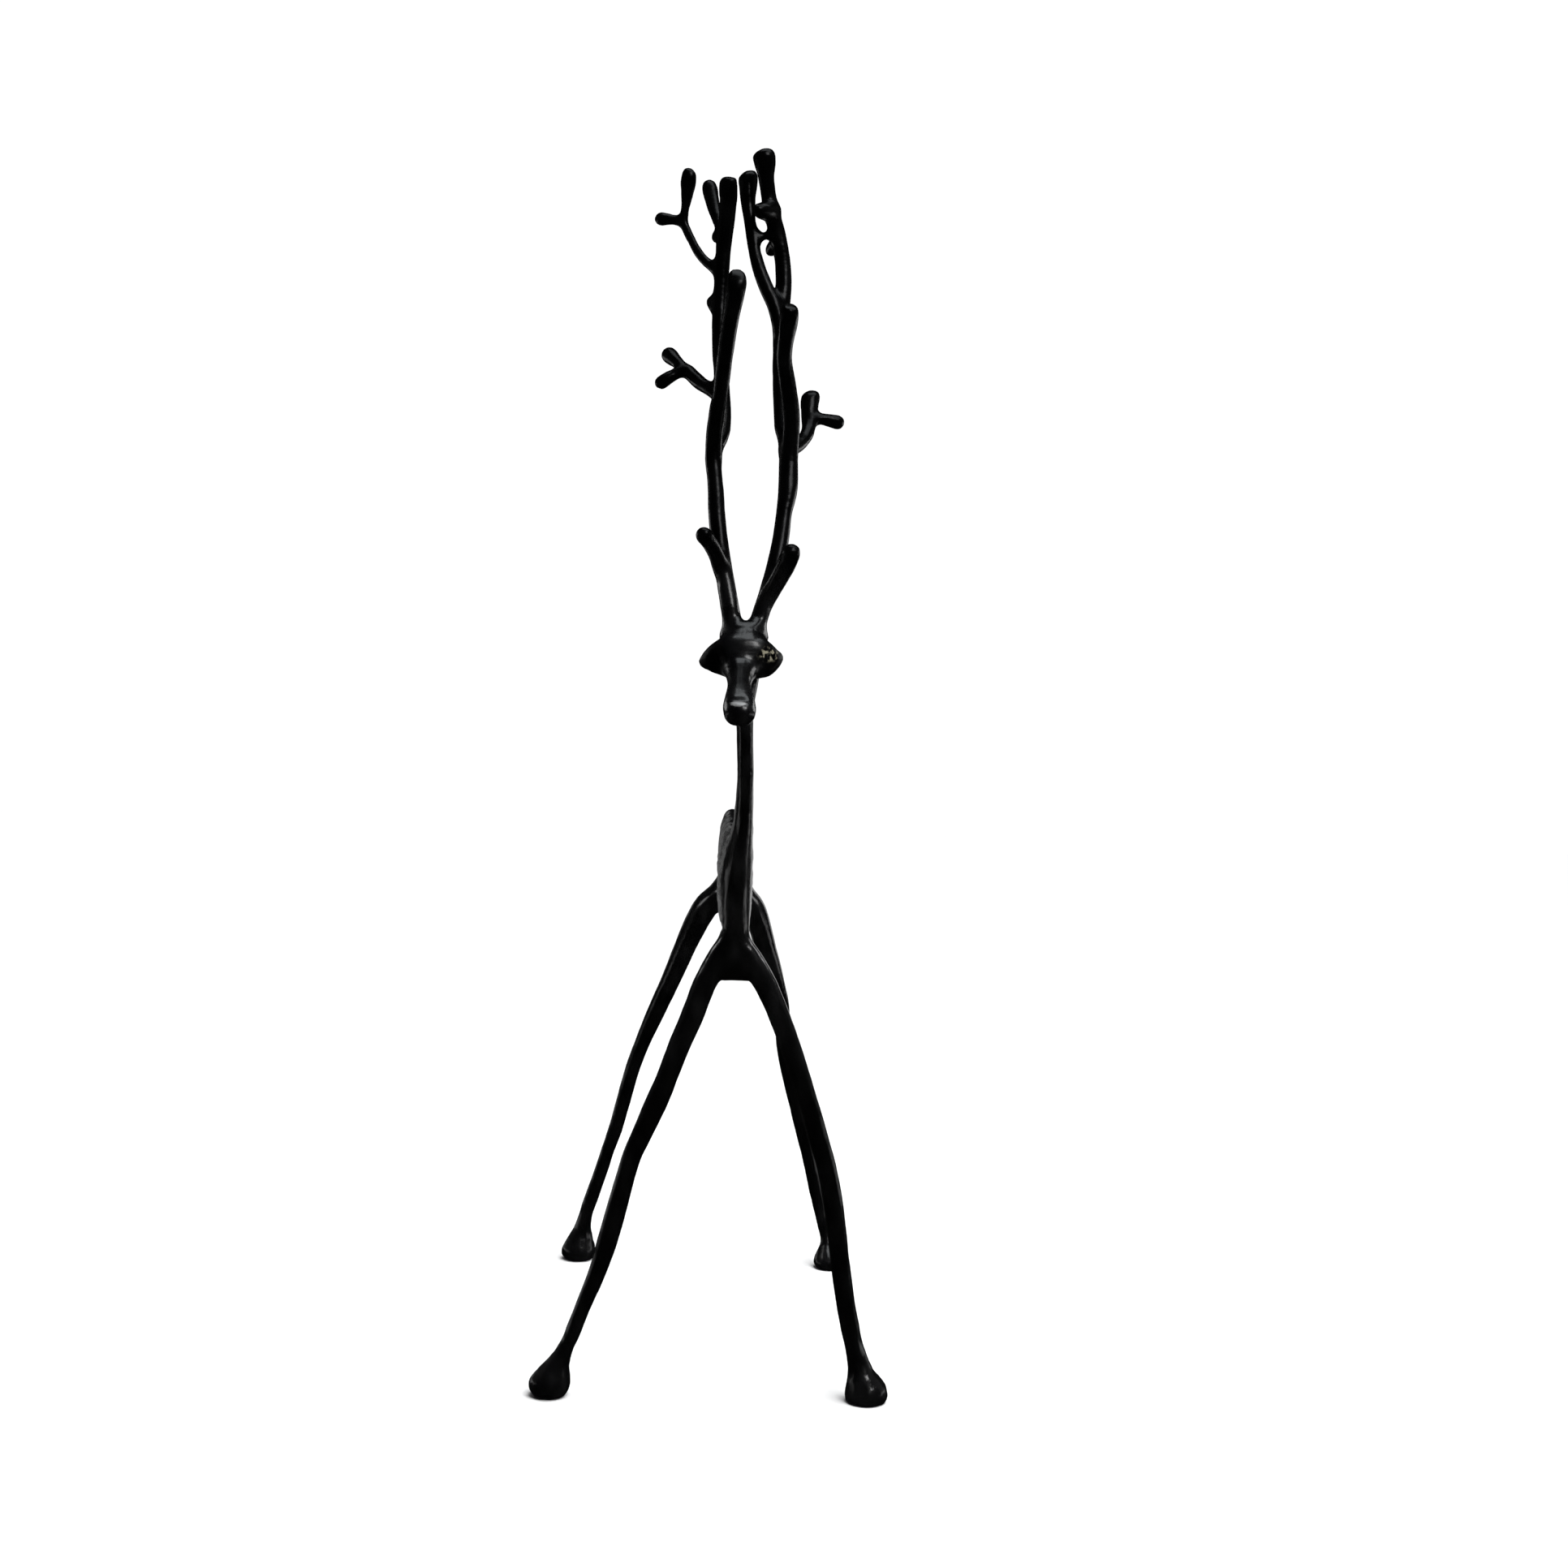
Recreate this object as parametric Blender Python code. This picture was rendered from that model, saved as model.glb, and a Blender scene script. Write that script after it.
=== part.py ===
"""A slender reindeer cast in one piece in dark metal, standing on four splayed legs."""

import math

import bmesh
import bpy
from mathutils import Vector

# Driving dimensions, in metres
HEIGHT = 0.500  # ground to the tip of the tallest antler
SKIN_GRAIN = 0.0011  # size of the grid that melts the limbs into one skin
SKIN_SMOOTHING = 5  # passes that round the joins between the limbs
SKIN_MAKE_UP = 0.0002  # thickness given back after the smoothing
FACETS = 9600  # triangles that the finished skin keeps
GROUND_DEPTH = 0.010  # thickness of the block that cuts the soles flat

# The pose is drawn in steps, with 500 of them to the height. X runs to the right as the figure
# is seen from the front, Y runs to its tail and Z up. Left and right are as seen from the front.
# A row is x, y, z, the width across and, where the limb isn't round, the thickness through it.
STEPS_TALL = 500
STEP = HEIGHT / STEPS_TALL
RING_SIDES = 16
RING_GAP = 2.5
DOME_RINGS = 4
SIDEWAYS = Vector((1, 0, 0))
UPWARDS = Vector((0, 0, 1))
LENGTHWAYS = Vector((0, 1, 0))

# The body, a thin upright plank from the shoulders to the rump
TRUNK = [
    (5.2, -90, 205, 8, 36),
    (5.3, -68, 205, 13, 46),
    (6, -38, 206, 13, 42),
    (6, 0, 207, 12.5, 39),
    (7, 38, 207, 12.5, 40),
    (7.5, 70, 206.5, 13, 44),
    (7.5, 90, 207, 12, 45),
    (7.5, 100, 206, 9, 36),
]
TAIL = [(7.5, 98, 218, 6, 5), (7.5, 105, 215, 6, 5), (7.5, 108, 208, 5, 4)]
NECK = [
    (5.6, -85, 181, 8.5, 15),
    (5.7, -85.5, 188, 10.8, 24),
    (5.6, -82, 195, 12.2, 33),
    (5.4, -78, 203, 13.2, 43),
    (5.6, -78, 211, 12.8, 46),
    (6.5, -81.5, 219, 10.5, 41),
    (7.4, -87.5, 227, 7.8, 31),
    (7.6, -94, 236, 6.6, 22.5),
    (7.5, -99.5, 245, 6.1, 17.5),
    (7.2, -105, 255, 6, 15),
    (6.6, -109, 265, 6.1, 14),
    (5.9, -112, 275, 7.2, 13.5),
    (5.6, -113, 286, 11.4, 14),
    (4.8, -113, 294, 14, 15),
]

# The head, from the crown down the bridge of the nose to the rounded muzzle
HEAD = [
    (4.7, -113, 301.7, 13.5, 11.4),
    (4.4, -116.4, 297.1, 17, 15.5),
    (4.1, -120.8, 293, 16, 14),
    (3.8, -124.2, 288.6, 13.4, 11.5),
    (3.4, -130.5, 285, 9.8, 9),
    (3.1, -137, 280.6, 8.8, 8.6),
    (3.2, -142.5, 275.8, 11.3, 9.6),
    (3.3, -147.2, 271, 11.6, 10),
]

# The bridge between the feet of the antlers, the brow before it and the ears, all reaching sideways
POLL = [(0, -115, 301.5, 9.5), (9.8, -115, 301.5, 9.5)]
BROW = [(0.6, -116.4, 303.2, 7), (9.2, -116.4, 303.2, 7)]
LEFT_EAR = [
    (4, -121, 294, 18, 13),
    (-1, -121, 293.3, 17, 11),
    (-5, -119.5, 292.6, 13, 7.5),
    (-8.5, -118, 291.8, 9, 5),
    (-10.5, -117, 291.2, 5, 3.5),
]
RIGHT_EAR = [
    (5, -121, 294, 18, 13),
    (10, -121, 293.4, 17, 11),
    (14.3, -119.5, 292.9, 13.5, 7.5),
    (17, -118, 293.3, 9.2, 5),
    (18.6, -117, 293.6, 5.5, 3.5),
]

# The forked pieces that carry the legs; each ends in an arch cut level under it
FORE_YOKE = [
    (5.7, -88, 195, 9, 14),
    (5.6, -90, 190, 10.8, 14.5),
    (5.6, -90.5, 185.5, 11, 13.5),
    (5.4, -91, 180.5, 14.5, 13),
    (5.4, -91, 175.5, 20.5, 12.8),
    (6.3, -91, 170.5, 27.5, 12.6),
    (6.5, -91.5, 162, 33, 12.4),
]
FORE_ARCH = 166.5
HIND_YOKE = [
    (8.3, 88, 203, 11.5, 34),
    (8.6, 89, 196.5, 14, 32),
    (8.2, 89, 190.5, 21, 28),
    (7.4, 89, 183, 30, 24),
    (7, 89, 175, 35, 19),
]
HIND_ARCH = 179

# The legs, from the yoke to the ankle, and the hoof under each
LEFT_FORELEG = [
    (1, -91.5, 178, 8.5, 12.5),
    (-3.2, -92, 170, 9, 12),
    (-7, -93, 162, 8.9, 11.3),
    (-10.8, -94.3, 151, 8.7, 10.2),
    (-15.7, -95.5, 139, 8.2, 9.2),
    (-20.7, -96.5, 125, 8.1, 8.5),
    (-24.6, -97, 115.5, 8.5, 9),
    (-28.7, -97, 106, 7.9, 8.5),
    (-32.8, -97, 96, 7.3, 8),
    (-36.1, -97, 84, 7.4, 8),
    (-39.1, -97, 72, 7.8, 8),
    (-42.1, -97, 60, 7.5, 7.5),
    (-45.8, -97, 48, 6.6, 7),
    (-50.4, -97.5, 36, 5.9, 6.5),
    (-54.9, -98, 24, 5.7, 6.5),
]
RIGHT_FORELEG = [
    (9.8, -91.5, 178, 8.5, 12.5),
    (15, -92, 170, 9, 12),
    (20, -93, 161, 8.5, 11.3),
    (24.9, -94.6, 150, 8.1, 10.2),
    (29.3, -96, 139, 8, 9.2),
    (33.5, -97, 127, 7.6, 8.5),
    (37.6, -97, 115, 7.4, 8.5),
    (41.4, -97, 103, 7.6, 8.5),
    (44.8, -97, 92, 7.4, 8),
    (47.3, -97, 80, 7.5, 8),
    (49.6, -97, 66, 7.4, 7.5),
    (51.5, -97, 52, 7.4, 7.5),
    (53.9, -97.5, 38, 7.3, 7),
    (56.7, -98, 25, 7.2, 7),
]
LEFT_HIND_LEG = [
    (5.5, 88, 190, 9, 28),
    (-3.2, 88.5, 182, 11.5, 25.5),
    (-8.4, 89, 173, 11.4, 22),
    (-13.4, 90, 162, 10.3, 18),
    (-18.4, 92, 149, 9.3, 14),
    (-23.9, 96, 135.5, 8.7, 11),
    (-29.4, 100, 122, 8.1, 9.5),
    (-34.9, 103, 108, 7.3, 9.5),
    (-39.2, 104, 95, 6.9, 8.5),
    (-42.7, 104, 81, 6.8, 7.5),
    (-46.2, 103, 67, 6.7, 7),
    (-50.7, 102, 53, 6.5, 6.5),
    (-54.7, 101.5, 40, 6.4, 6.5),
    (-59, 101, 27, 6.5, 6.5),
]
RIGHT_HIND_LEG = [
    (11.5, 88, 190, 9, 28),
    (18.2, 88.5, 182, 11.5, 25.5),
    (22.3, 89, 173, 11, 22),
    (26, 90, 161, 10.2, 18),
    (30.1, 92, 149, 9, 14),
    (33.7, 95, 137, 8, 11.5),
    (35.6, 98, 128, 7.4, 10),
    (37.3, 101, 110, 6.8, 9.5),
    (40.6, 103, 94, 6.5, 8.5),
    (45.2, 103, 77, 6.4, 7.5),
    (49.7, 102, 61, 6.3, 7),
    (53.9, 101, 45, 6.3, 6.5),
    (57.8, 99.5, 29, 6.3, 6.5),
]
LEFT_FOREHOOF = [
    (-54.9, -98, 24, 5.8),
    (-58.2, -97.5, 17, 7.4),
    (-61.2, -97, 11, 11.5),
    (-63, -96.5, 5.8, 16.2),
    (-63, -96.5, 3, 15.8),
    (-63, -96.5, 0.6, 12.8),
    (-63, -96.5, -1.5, 9),
]
RIGHT_FOREHOOF = [
    (56.7, -98, 25, 7.2),
    (59, -98.5, 17, 8.4),
    (60.8, -99, 11.5, 10.6),
    (62.8, -99, 6.5, 15.6),
    (63, -99.5, 2.8, 17),
    (62.8, -99.5, 0.6, 16),
    (63, -99.5, -1.5, 11),
]
LEFT_HIND_HOOF = [
    (-59, 101, 27, 6.5),
    (-61.2, 102, 18, 7.6),
    (-62.6, 103, 11, 12),
    (-63.3, 103, 6, 16),
    (-63.3, 103, 3, 16.8),
    (-63.3, 103, 0.6, 14.2),
    (-63.3, 103, -1.5, 10),
]
RIGHT_HIND_HOOF = [
    (57.8, 99.5, 29, 6.3),
    (60.6, 98, 18, 6.4),
    (62.2, 96.5, 12.5, 7),
    (63, 95, 8.5, 11.5),
    (63.5, 93.5, 5, 15.8),
    (63.5, 93, 2.5, 16.8),
    (63.5, 93, 0.6, 14.6),
    (63.5, 93, -1.5, 10),
]

# The left antler: a beam that parts into a fore and a hind strand, and their tines
LEFT_BEAM = [
    (2.5, -113, 296, 9),
    (0.8, -114.5, 304, 8.2),
    (-0.9, -114, 313, 7.2),
    (-2.4, -112, 321, 7),
    (-3.9, -110, 329, 6.9),
    (-5.5, -107, 339, 6.7),
    (-6.7, -104, 349, 6.5),
    (-7.5, -100, 360, 6.3),
    (-8.4, -97, 370, 5.9),
]
LEFT_FORE_STRAND = [
    (-8.5, -97, 368, 5.9),
    (-8.7, -97, 378, 6.5),
    (-8.1, -99, 387, 6.5),
    (-6.9, -102, 396, 6.2),
    (-6, -107, 406, 6.2),
    (-5, -112, 415, 6.3),
    (-3.9, -117, 424, 6.7),
    (-2.5, -122, 432, 7.2),
    (-1.9, -124, 438.4, 7.2),
]
LEFT_HIND_STRAND = [
    (-8.4, -96, 369, 5.8),
    (-7.9, -92.5, 377, 5.8),
    (-6, -89.5, 382.5, 5.9),
    (-5.1, -87, 388, 6),
    (-5.4, -84, 399, 6),
    (-6.7, -82, 412, 6),
    (-7.6, -79.5, 427, 6.3),
    (-7.7, -78, 440, 6.3),
    (-7.4, -78, 453, 6.1),
    (-6.8, -79, 463, 6.2),
    (-6, -81, 472, 6.6),
    (-5.6, -83, 480, 6.6),
    (-5.8, -85, 487, 7),
]
LEFT_BROW_TINE = [
    (-4, -110, 327, 6.8),
    (-6.8, -116, 333, 6.1),
    (-9.7, -123, 336.8, 6),
    (-11.6, -127, 338.6, 6.4),
]
LEFT_LOW_BRANCH = [
    (-6, -84, 398.5, 5),
    (-10, -81, 402.8, 5.4),
    (-15.3, -75, 407.3, 5.8),
    (-20.3, -69.5, 412.8, 5.5),
]
LEFT_LOW_TINES = [
    [(-19.5, -70.5, 411.5, 5), (-24.8, -65.5, 417.2, 5.2), (-27.7, -61.5, 420.5, 6.6)],
    [(-20, -69.5, 413, 4.4), (-25.6, -69.5, 411, 4.8), (-30.6, -70, 407.4, 5.5)],
]
LEFT_HIGH_BRANCH = [
    (-8, -78, 450.5, 4.6),
    (-11.5, -76, 454.2, 4.1),
    (-14.6, -74.5, 457, 3.9),
    (-17.8, -73, 461.3, 3.7),
    (-21.1, -71, 467.7, 3.6),
    (-23.4, -70, 473, 3.8),
]
LEFT_HIGH_TINES = [
    [(-23.3, -70, 472, 3.6), (-22.9, -71, 479.5, 3.8), (-22.2, -72, 486, 5.3), (-21.6, -73, 492, 5.8)],
    [(-23, -70, 473, 3.6), (-28, -69, 474.3, 4.2), (-32.7, -67, 475, 5.4)],
]
LEFT_REAR_TINE = [
    (-7, -78, 459, 4.2),
    (-8.8, -71, 472, 4.2),
    (-11.5, -65.5, 482, 5.4),
    (-13.3, -62.5, 490.2, 6.1),
]
LEFT_BUDS = [
    [(-7.5, -78, 464, 4), (-9.9, -71, 467.5, 4.2)],
    [(-7.8, -78, 435, 6), (-10.4, -74.5, 440, 5.6)],
]

# The right antler
RIGHT_BEAM = [
    (7, -113, 296, 9),
    (9.3, -114.5, 303, 8),
    (11.1, -114, 310.5, 6.8),
    (13.4, -113, 317, 6.9),
    (15.3, -111, 324.5, 7),
    (17, -109, 332.5, 6.6),
    (18.5, -106, 341, 6.5),
    (19.5, -103, 350.5, 6.2),
    (21, -100, 361, 7.4),
    (21.3, -97, 371, 7.2),
]
RIGHT_FORE_STRAND = [
    (21, -98, 366, 6.8),
    (21.6, -97, 380, 6.8),
    (21.3, -100, 391, 6.8),
    (19.1, -105, 403, 6.5),
    (17.5, -110, 411, 6.1),
    (18, -116, 419.5, 6.6),
    (18.6, -121, 426.5, 7),
]
RIGHT_HIND_STRAND = [
    (20.2, -99, 364, 6),
    (20.2, -94, 378, 5.8),
    (18.5, -89, 388, 5.9),
    (17.8, -85.5, 397, 5.9),
    (17.3, -83, 407, 5.8),
    (17.1, -81, 420, 5.7),
    (17.2, -79, 431, 6.1),
    (17.7, -77, 443, 6.6),
    (17.8, -76, 451.5, 6.4),
    (16.7, -76, 460, 6.4),
    (14.4, -77, 469.5, 6.6),
    (12.2, -78, 476.5, 6.6),
    (10.4, -80, 484, 6.2),
    (9.2, -82, 491, 6.9),
    (8.4, -83, 496.5, 9.2),
]
RIGHT_INNER_TINE = [
    (17.2, -82, 426.5, 5.6),
    (14.4, -81.5, 437.4, 5.8),
    (10.8, -80.5, 445.2, 5.7),
    (7.6, -79.5, 453.4, 5.4),
    (5.5, -78, 462, 5.1),
    (3.8, -76.5, 472, 5.2),
    (2.5, -75, 482.2, 6.1),
    (2.4, -73.5, 491.2, 7.9),
]
RIGHT_BROW_TINE = [
    (13, -113, 316, 7),
    (16.6, -117, 322.5, 7),
    (19.9, -123, 328.6, 7.1),
    (21.6, -128.5, 333, 6.9),
]
RIGHT_LOW_BRANCH = [
    (19.5, -94, 377, 5.6),
    (25, -86, 380.8, 5.2),
    (29, -79, 386.8, 5.4),
    (30.2, -74.5, 393, 5.8),
]
RIGHT_LOW_TINES = [
    [(30.1, -75, 391, 5.6), (30.2, -72, 398.5, 6.9), (30.6, -70, 404, 7.6)],
    [(30, -75, 393.3, 4.6), (35.8, -72.5, 394.7, 4.8), (42.2, -70, 394, 5.6)],
]
RIGHT_TWIGS = [
    [(12.6, -78, 477, 7.2), (8.9, -82.8, 475.5, 7.4), (6.3, -86, 474.8, 4.6)],
    [(4.4, -77.2, 468.6, 3.6), (8.6, -77.6, 467.2, 2.9), (12, -77.8, 466.9, 3.2), (15, -77, 466, 3.6)],
    [(5.3, -78, 462.8, 3.4), (8.4, -77.8, 466.2, 2.8)],
    [(15, -77, 468, 3.8), (12.7, -69, 463.6, 4.9)],
]

# Tips that were sliced off at a slant: the slice's place and the way that it faces
LEFT_FORE_SLICES = [((-2.3, -124.7, 437.3), (0.1, -0.89, 0.44)), ((-2, -123.5, 441.7), (-0.15, -0.1, 0.98))]
LEFT_HIND_SLICE = [((-5.8, -85, 487.2), (-0.1, -0.2, 0.97))]
LEFT_UPRIGHT_SLICE = [((-21.6, -73, 494), (0.5, -0.2, 0.84))]
RIGHT_FORE_SLICE = [((18.6, -122, 427.8), (0.1, -0.62, 0.78))]
RIGHT_HIND_SLICE = [((9, -83, 499.8), (-0.36, -0.15, 0.92))]
RIGHT_INNER_SLICE = [((2.2, -73.5, 493.5), (-0.45, -0.2, 0.87))]
RIGHT_UPRIGHT_SLICE = [((30.4, -70, 405.8), (-0.35, -0.3, 0.89))]


def smooth_rows(rows):
    """The rows with more between them, on a curve through every row."""
    rows = [row if len(row) == 5 else row + (row[3],) for row in rows]
    rows = [Vector(row) for row in rows]
    first = rows[0] * 2 - rows[1]
    last = rows[-1] * 2 - rows[-2]
    guides = [first] + rows + [last]
    dense = []
    for before, start, end, after in zip(guides, guides[1:], guides[2:], guides[3:]):
        length = (Vector(end[:3]) - Vector(start[:3])).length
        count = max(1, round(length / RING_GAP))
        for index in range(count):
            t = index / count
            dense.append(
                0.5 * (2 * start + (end - before) * t
                       + (2 * before - 5 * start + 4 * end - after) * t ** 2
                       + (3 * start - before - 3 * end + after) * t ** 3)
            )
    dense.append(rows[-1])
    return dense


def with_domes(rows, bluntness):
    """The rows with shrinking ones added past both ends, so that the limb ends in domes."""
    domed = list(rows)
    for at_start in (True, False):
        end, neighbour = (rows[0], rows[1]) if at_start else (rows[-1], rows[-2])
        outwards = (Vector(end[:3]) - Vector(neighbour[:3])).normalized()
        reach = min(end[3], end[4]) / 2 * bluntness
        for index in range(1, DOME_RINGS):
            angle = math.pi / 2 * index / DOME_RINGS
            place = Vector(end[:3]) + outwards * reach * math.sin(angle)
            ring = Vector((*place, end[3] * math.cos(angle), end[4] * math.cos(angle)))
            if at_start:
                domed.insert(0, ring)
            else:
                domed.append(ring)
    return domed


def ring_points(row, direction, across, squareness):
    """One closed section of a limb, square to its direction."""
    width_axis = (across - direction * across.dot(direction)).normalized()
    depth_axis = direction.cross(width_axis)
    points = []
    for index in range(RING_SIDES):
        angle = 2 * math.pi * index / RING_SIDES
        wide = math.copysign(abs(math.cos(angle)) ** (2 / squareness), math.cos(angle))
        deep = math.copysign(abs(math.sin(angle)) ** (2 / squareness), math.sin(angle))
        points.append(Vector(row[:3]) + width_axis * wide * row[3] / 2 + depth_axis * deep * row[4] / 2)
    return points


def slice_off(shape, place, facing):
    """Cut away what lies past a plane and close the cut."""
    everything = shape.verts[:] + shape.edges[:] + shape.faces[:]
    bmesh.ops.bisect_plane(
        shape, geom=everything, plane_co=Vector(place) * STEP, plane_no=Vector(facing), clear_outer=True
    )
    rim = [edge for edge in shape.edges if edge.is_boundary]
    bmesh.ops.holes_fill(shape, edges=rim, sides=0)


def add_limb(figure, rows, across=SIDEWAYS, squareness=2.0, bluntness=1.0, slices=(), level=False):
    """Loft one limb through its rows, slice its tip and add it to the figure.

    Its sections lie square to it or, where level is set, flat like a stack of plates.
    """
    rows = with_domes(smooth_rows(rows), bluntness)
    shape = bmesh.new()
    rings = []
    for index, row in enumerate(rows):
        before = rows[max(index - 1, 0)]
        after = rows[min(index + 1, len(rows) - 1)]
        direction = (Vector(after[:3]) - Vector(before[:3])).normalized()
        if level:
            direction = UPWARDS.copy()
        points = ring_points(row, direction, across, squareness)
        rings.append([shape.verts.new(point * STEP) for point in points])
    for lower, upper in zip(rings, rings[1:]):
        for index in range(RING_SIDES):
            following = (index + 1) % RING_SIDES
            shape.faces.new((lower[index], lower[following], upper[following], upper[index]))
    shape.faces.new(list(reversed(rings[0])))
    shape.faces.new(rings[-1])
    bmesh.ops.recalc_face_normals(shape, faces=shape.faces)
    for place, facing in slices:
        slice_off(shape, place, facing)
    mesh = bpy.data.meshes.new("limb")
    shape.to_mesh(mesh)
    shape.free()
    figure.from_mesh(mesh)
    bpy.data.meshes.remove(mesh)


def add_body(figure):
    add_limb(figure, TRUNK, squareness=2.6, bluntness=0.6)
    add_limb(figure, TAIL)
    add_limb(figure, NECK, squareness=2.7, level=True)
    add_limb(figure, HEAD, squareness=2.2, bluntness=0.9)
    for sideways_bar in (POLL, BROW, LEFT_EAR, RIGHT_EAR):
        add_limb(figure, sideways_bar, across=UPWARDS)


def add_legs(figure):
    for yoke, arch in ((FORE_YOKE, FORE_ARCH), (HIND_YOKE, HIND_ARCH)):
        add_limb(figure, yoke, squareness=2.7, slices=[((0, 0, arch), (0, 0, -1))], level=True)
    for leg in (LEFT_FORELEG, RIGHT_FORELEG, LEFT_HIND_LEG, RIGHT_HIND_LEG):
        add_limb(figure, leg, squareness=2.7)
    for hoof in (LEFT_FOREHOOF, RIGHT_FOREHOOF, LEFT_HIND_HOOF, RIGHT_HIND_HOOF):
        add_limb(figure, hoof, bluntness=0.5, level=True)


def add_antlers(figure):
    sliced = (
        (LEFT_FORE_STRAND, LEFT_FORE_SLICES),
        (LEFT_HIND_STRAND, LEFT_HIND_SLICE),
        (LEFT_HIGH_TINES[0], LEFT_UPRIGHT_SLICE),
        (RIGHT_FORE_STRAND, RIGHT_FORE_SLICE),
        (RIGHT_HIND_STRAND, RIGHT_HIND_SLICE),
        (RIGHT_INNER_TINE, RIGHT_INNER_SLICE),
        (RIGHT_LOW_TINES[0], RIGHT_UPRIGHT_SLICE),
    )
    for rows, slices in sliced:
        add_limb(figure, rows, slices=slices)
    upright = (LEFT_BEAM, LEFT_BROW_TINE, LEFT_REAR_TINE, RIGHT_BEAM, RIGHT_BROW_TINE)
    for rows in upright:
        add_limb(figure, rows)
    spreading = [LEFT_LOW_BRANCH, *LEFT_LOW_TINES, LEFT_HIGH_BRANCH, LEFT_HIGH_TINES[1], *LEFT_BUDS]
    spreading += [RIGHT_LOW_BRANCH, RIGHT_LOW_TINES[1], *RIGHT_TWIGS]
    for rows in spreading:
        add_limb(figure, rows, across=LENGTHWAYS)


def black_patina():
    """Near-black metal with a soft gloss."""
    material = bpy.data.materials.new("black_patina")
    material.use_nodes = True
    shader = material.node_tree.nodes["Principled BSDF"]
    shader.inputs["Base Color"].default_value = (0.012, 0.012, 0.013, 1)
    shader.inputs["Metallic"].default_value = 0.6
    shader.inputs["Roughness"].default_value = 0.34
    return material


def ground_block():
    """The block under the figure that cuts its soles flat."""
    bpy.ops.mesh.primitive_cube_add(size=1, location=(0, 0, -GROUND_DEPTH / 2))
    block = bpy.context.object
    block.name = "ground_cutter"
    block.scale = (HEIGHT, HEIGHT, GROUND_DEPTH)
    bpy.ops.object.transform_apply(location=False, rotation=False, scale=True)
    block.hide_render = True
    block.display_type = "WIRE"
    return block


def evaluated_mesh(body):
    """The mesh that the object's modifiers give."""
    graph = bpy.context.evaluated_depsgraph_get()
    return bpy.data.meshes.new_from_object(body.evaluated_get(graph))


def add_skin(body, ground):
    """Melt the limbs into one skin, round it, thin it out and cut the soles flat."""
    remesh = body.modifiers.new("one_skin", "REMESH")
    remesh.mode = "VOXEL"
    remesh.voxel_size = SKIN_GRAIN
    smooth = body.modifiers.new("soft_joins", "SMOOTH")
    smooth.factor = 0.5
    smooth.iterations = SKIN_SMOOTHING
    swell = body.modifiers.new("make_up", "DISPLACE")
    swell.strength = SKIN_MAKE_UP
    swell.mid_level = 0
    fine = evaluated_mesh(body)
    triangles = sum(len(face.vertices) - 2 for face in fine.polygons)
    bpy.data.meshes.remove(fine)
    thin = body.modifiers.new("fewer_facets", "DECIMATE")
    thin.ratio = min(1, FACETS / triangles)
    cut = body.modifiers.new("flat_soles", "BOOLEAN")
    cut.operation = "DIFFERENCE"
    cut.solver = "EXACT"
    cut.object = ground


def centre_over_origin(body):
    """Move the figure so that its bounding box stands centred on the origin."""
    mesh = evaluated_mesh(body)
    for axis in range(2):
        places = [vertex.co[axis] for vertex in mesh.vertices]
        body.location[axis] = -(min(places) + max(places)) / 2
    bpy.data.meshes.remove(mesh)


def main():
    for old in list(bpy.data.objects):
        bpy.data.objects.remove(old, do_unlink=True)
    figure = bmesh.new()
    add_body(figure)
    add_legs(figure)
    add_antlers(figure)
    mesh = bpy.data.meshes.new("reindeer")
    figure.to_mesh(mesh)
    figure.free()
    mesh.materials.append(black_patina())
    mesh.shade_smooth()
    body = bpy.data.objects.new("reindeer", mesh)
    bpy.context.collection.objects.link(body)
    add_skin(body, ground_block())
    centre_over_origin(body)


main()
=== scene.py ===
"""Looks of the cast reindeer: waxed black patina on hand-modelled metal, on a pale studio floor."""

import math

import bmesh
import bpy
from mathutils import Matrix, Vector

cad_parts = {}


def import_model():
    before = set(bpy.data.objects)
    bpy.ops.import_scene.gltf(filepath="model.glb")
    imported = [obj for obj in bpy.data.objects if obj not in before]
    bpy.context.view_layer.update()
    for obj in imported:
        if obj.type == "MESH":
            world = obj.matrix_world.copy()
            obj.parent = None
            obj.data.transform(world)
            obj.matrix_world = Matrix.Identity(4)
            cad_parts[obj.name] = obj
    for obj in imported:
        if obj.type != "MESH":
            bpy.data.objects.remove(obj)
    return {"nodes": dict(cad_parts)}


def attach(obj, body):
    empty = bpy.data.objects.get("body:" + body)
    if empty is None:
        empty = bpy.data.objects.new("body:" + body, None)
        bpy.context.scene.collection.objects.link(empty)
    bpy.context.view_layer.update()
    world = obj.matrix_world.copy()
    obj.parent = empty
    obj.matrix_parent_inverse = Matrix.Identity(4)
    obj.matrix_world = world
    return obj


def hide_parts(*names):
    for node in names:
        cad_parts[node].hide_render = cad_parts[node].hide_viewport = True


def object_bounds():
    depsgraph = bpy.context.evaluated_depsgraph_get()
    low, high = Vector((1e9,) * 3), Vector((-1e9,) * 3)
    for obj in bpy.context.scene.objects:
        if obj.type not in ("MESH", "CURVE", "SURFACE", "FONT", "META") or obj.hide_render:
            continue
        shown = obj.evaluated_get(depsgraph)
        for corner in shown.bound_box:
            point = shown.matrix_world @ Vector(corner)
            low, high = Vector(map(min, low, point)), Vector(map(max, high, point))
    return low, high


# The skin, in metres
SKIN_GRID = 0.00072  # grid that the rounded form is laid out on
SKIN_PASSES = 2  # passes that even the grid out
SKIN_EVENING = 0.5  # how far each pass goes
SKIN_TRIANGLES = 190000
MERGE_REACH = 1e-6
CREASE = math.radians(48)  # edges bent more than this stay crisp
ROUND_CUTS = 2  # times that each facet of the solid is cut in four
ROUND_SHARE = 0.78  # how far the cut facets swell to the curve of their corners

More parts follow.
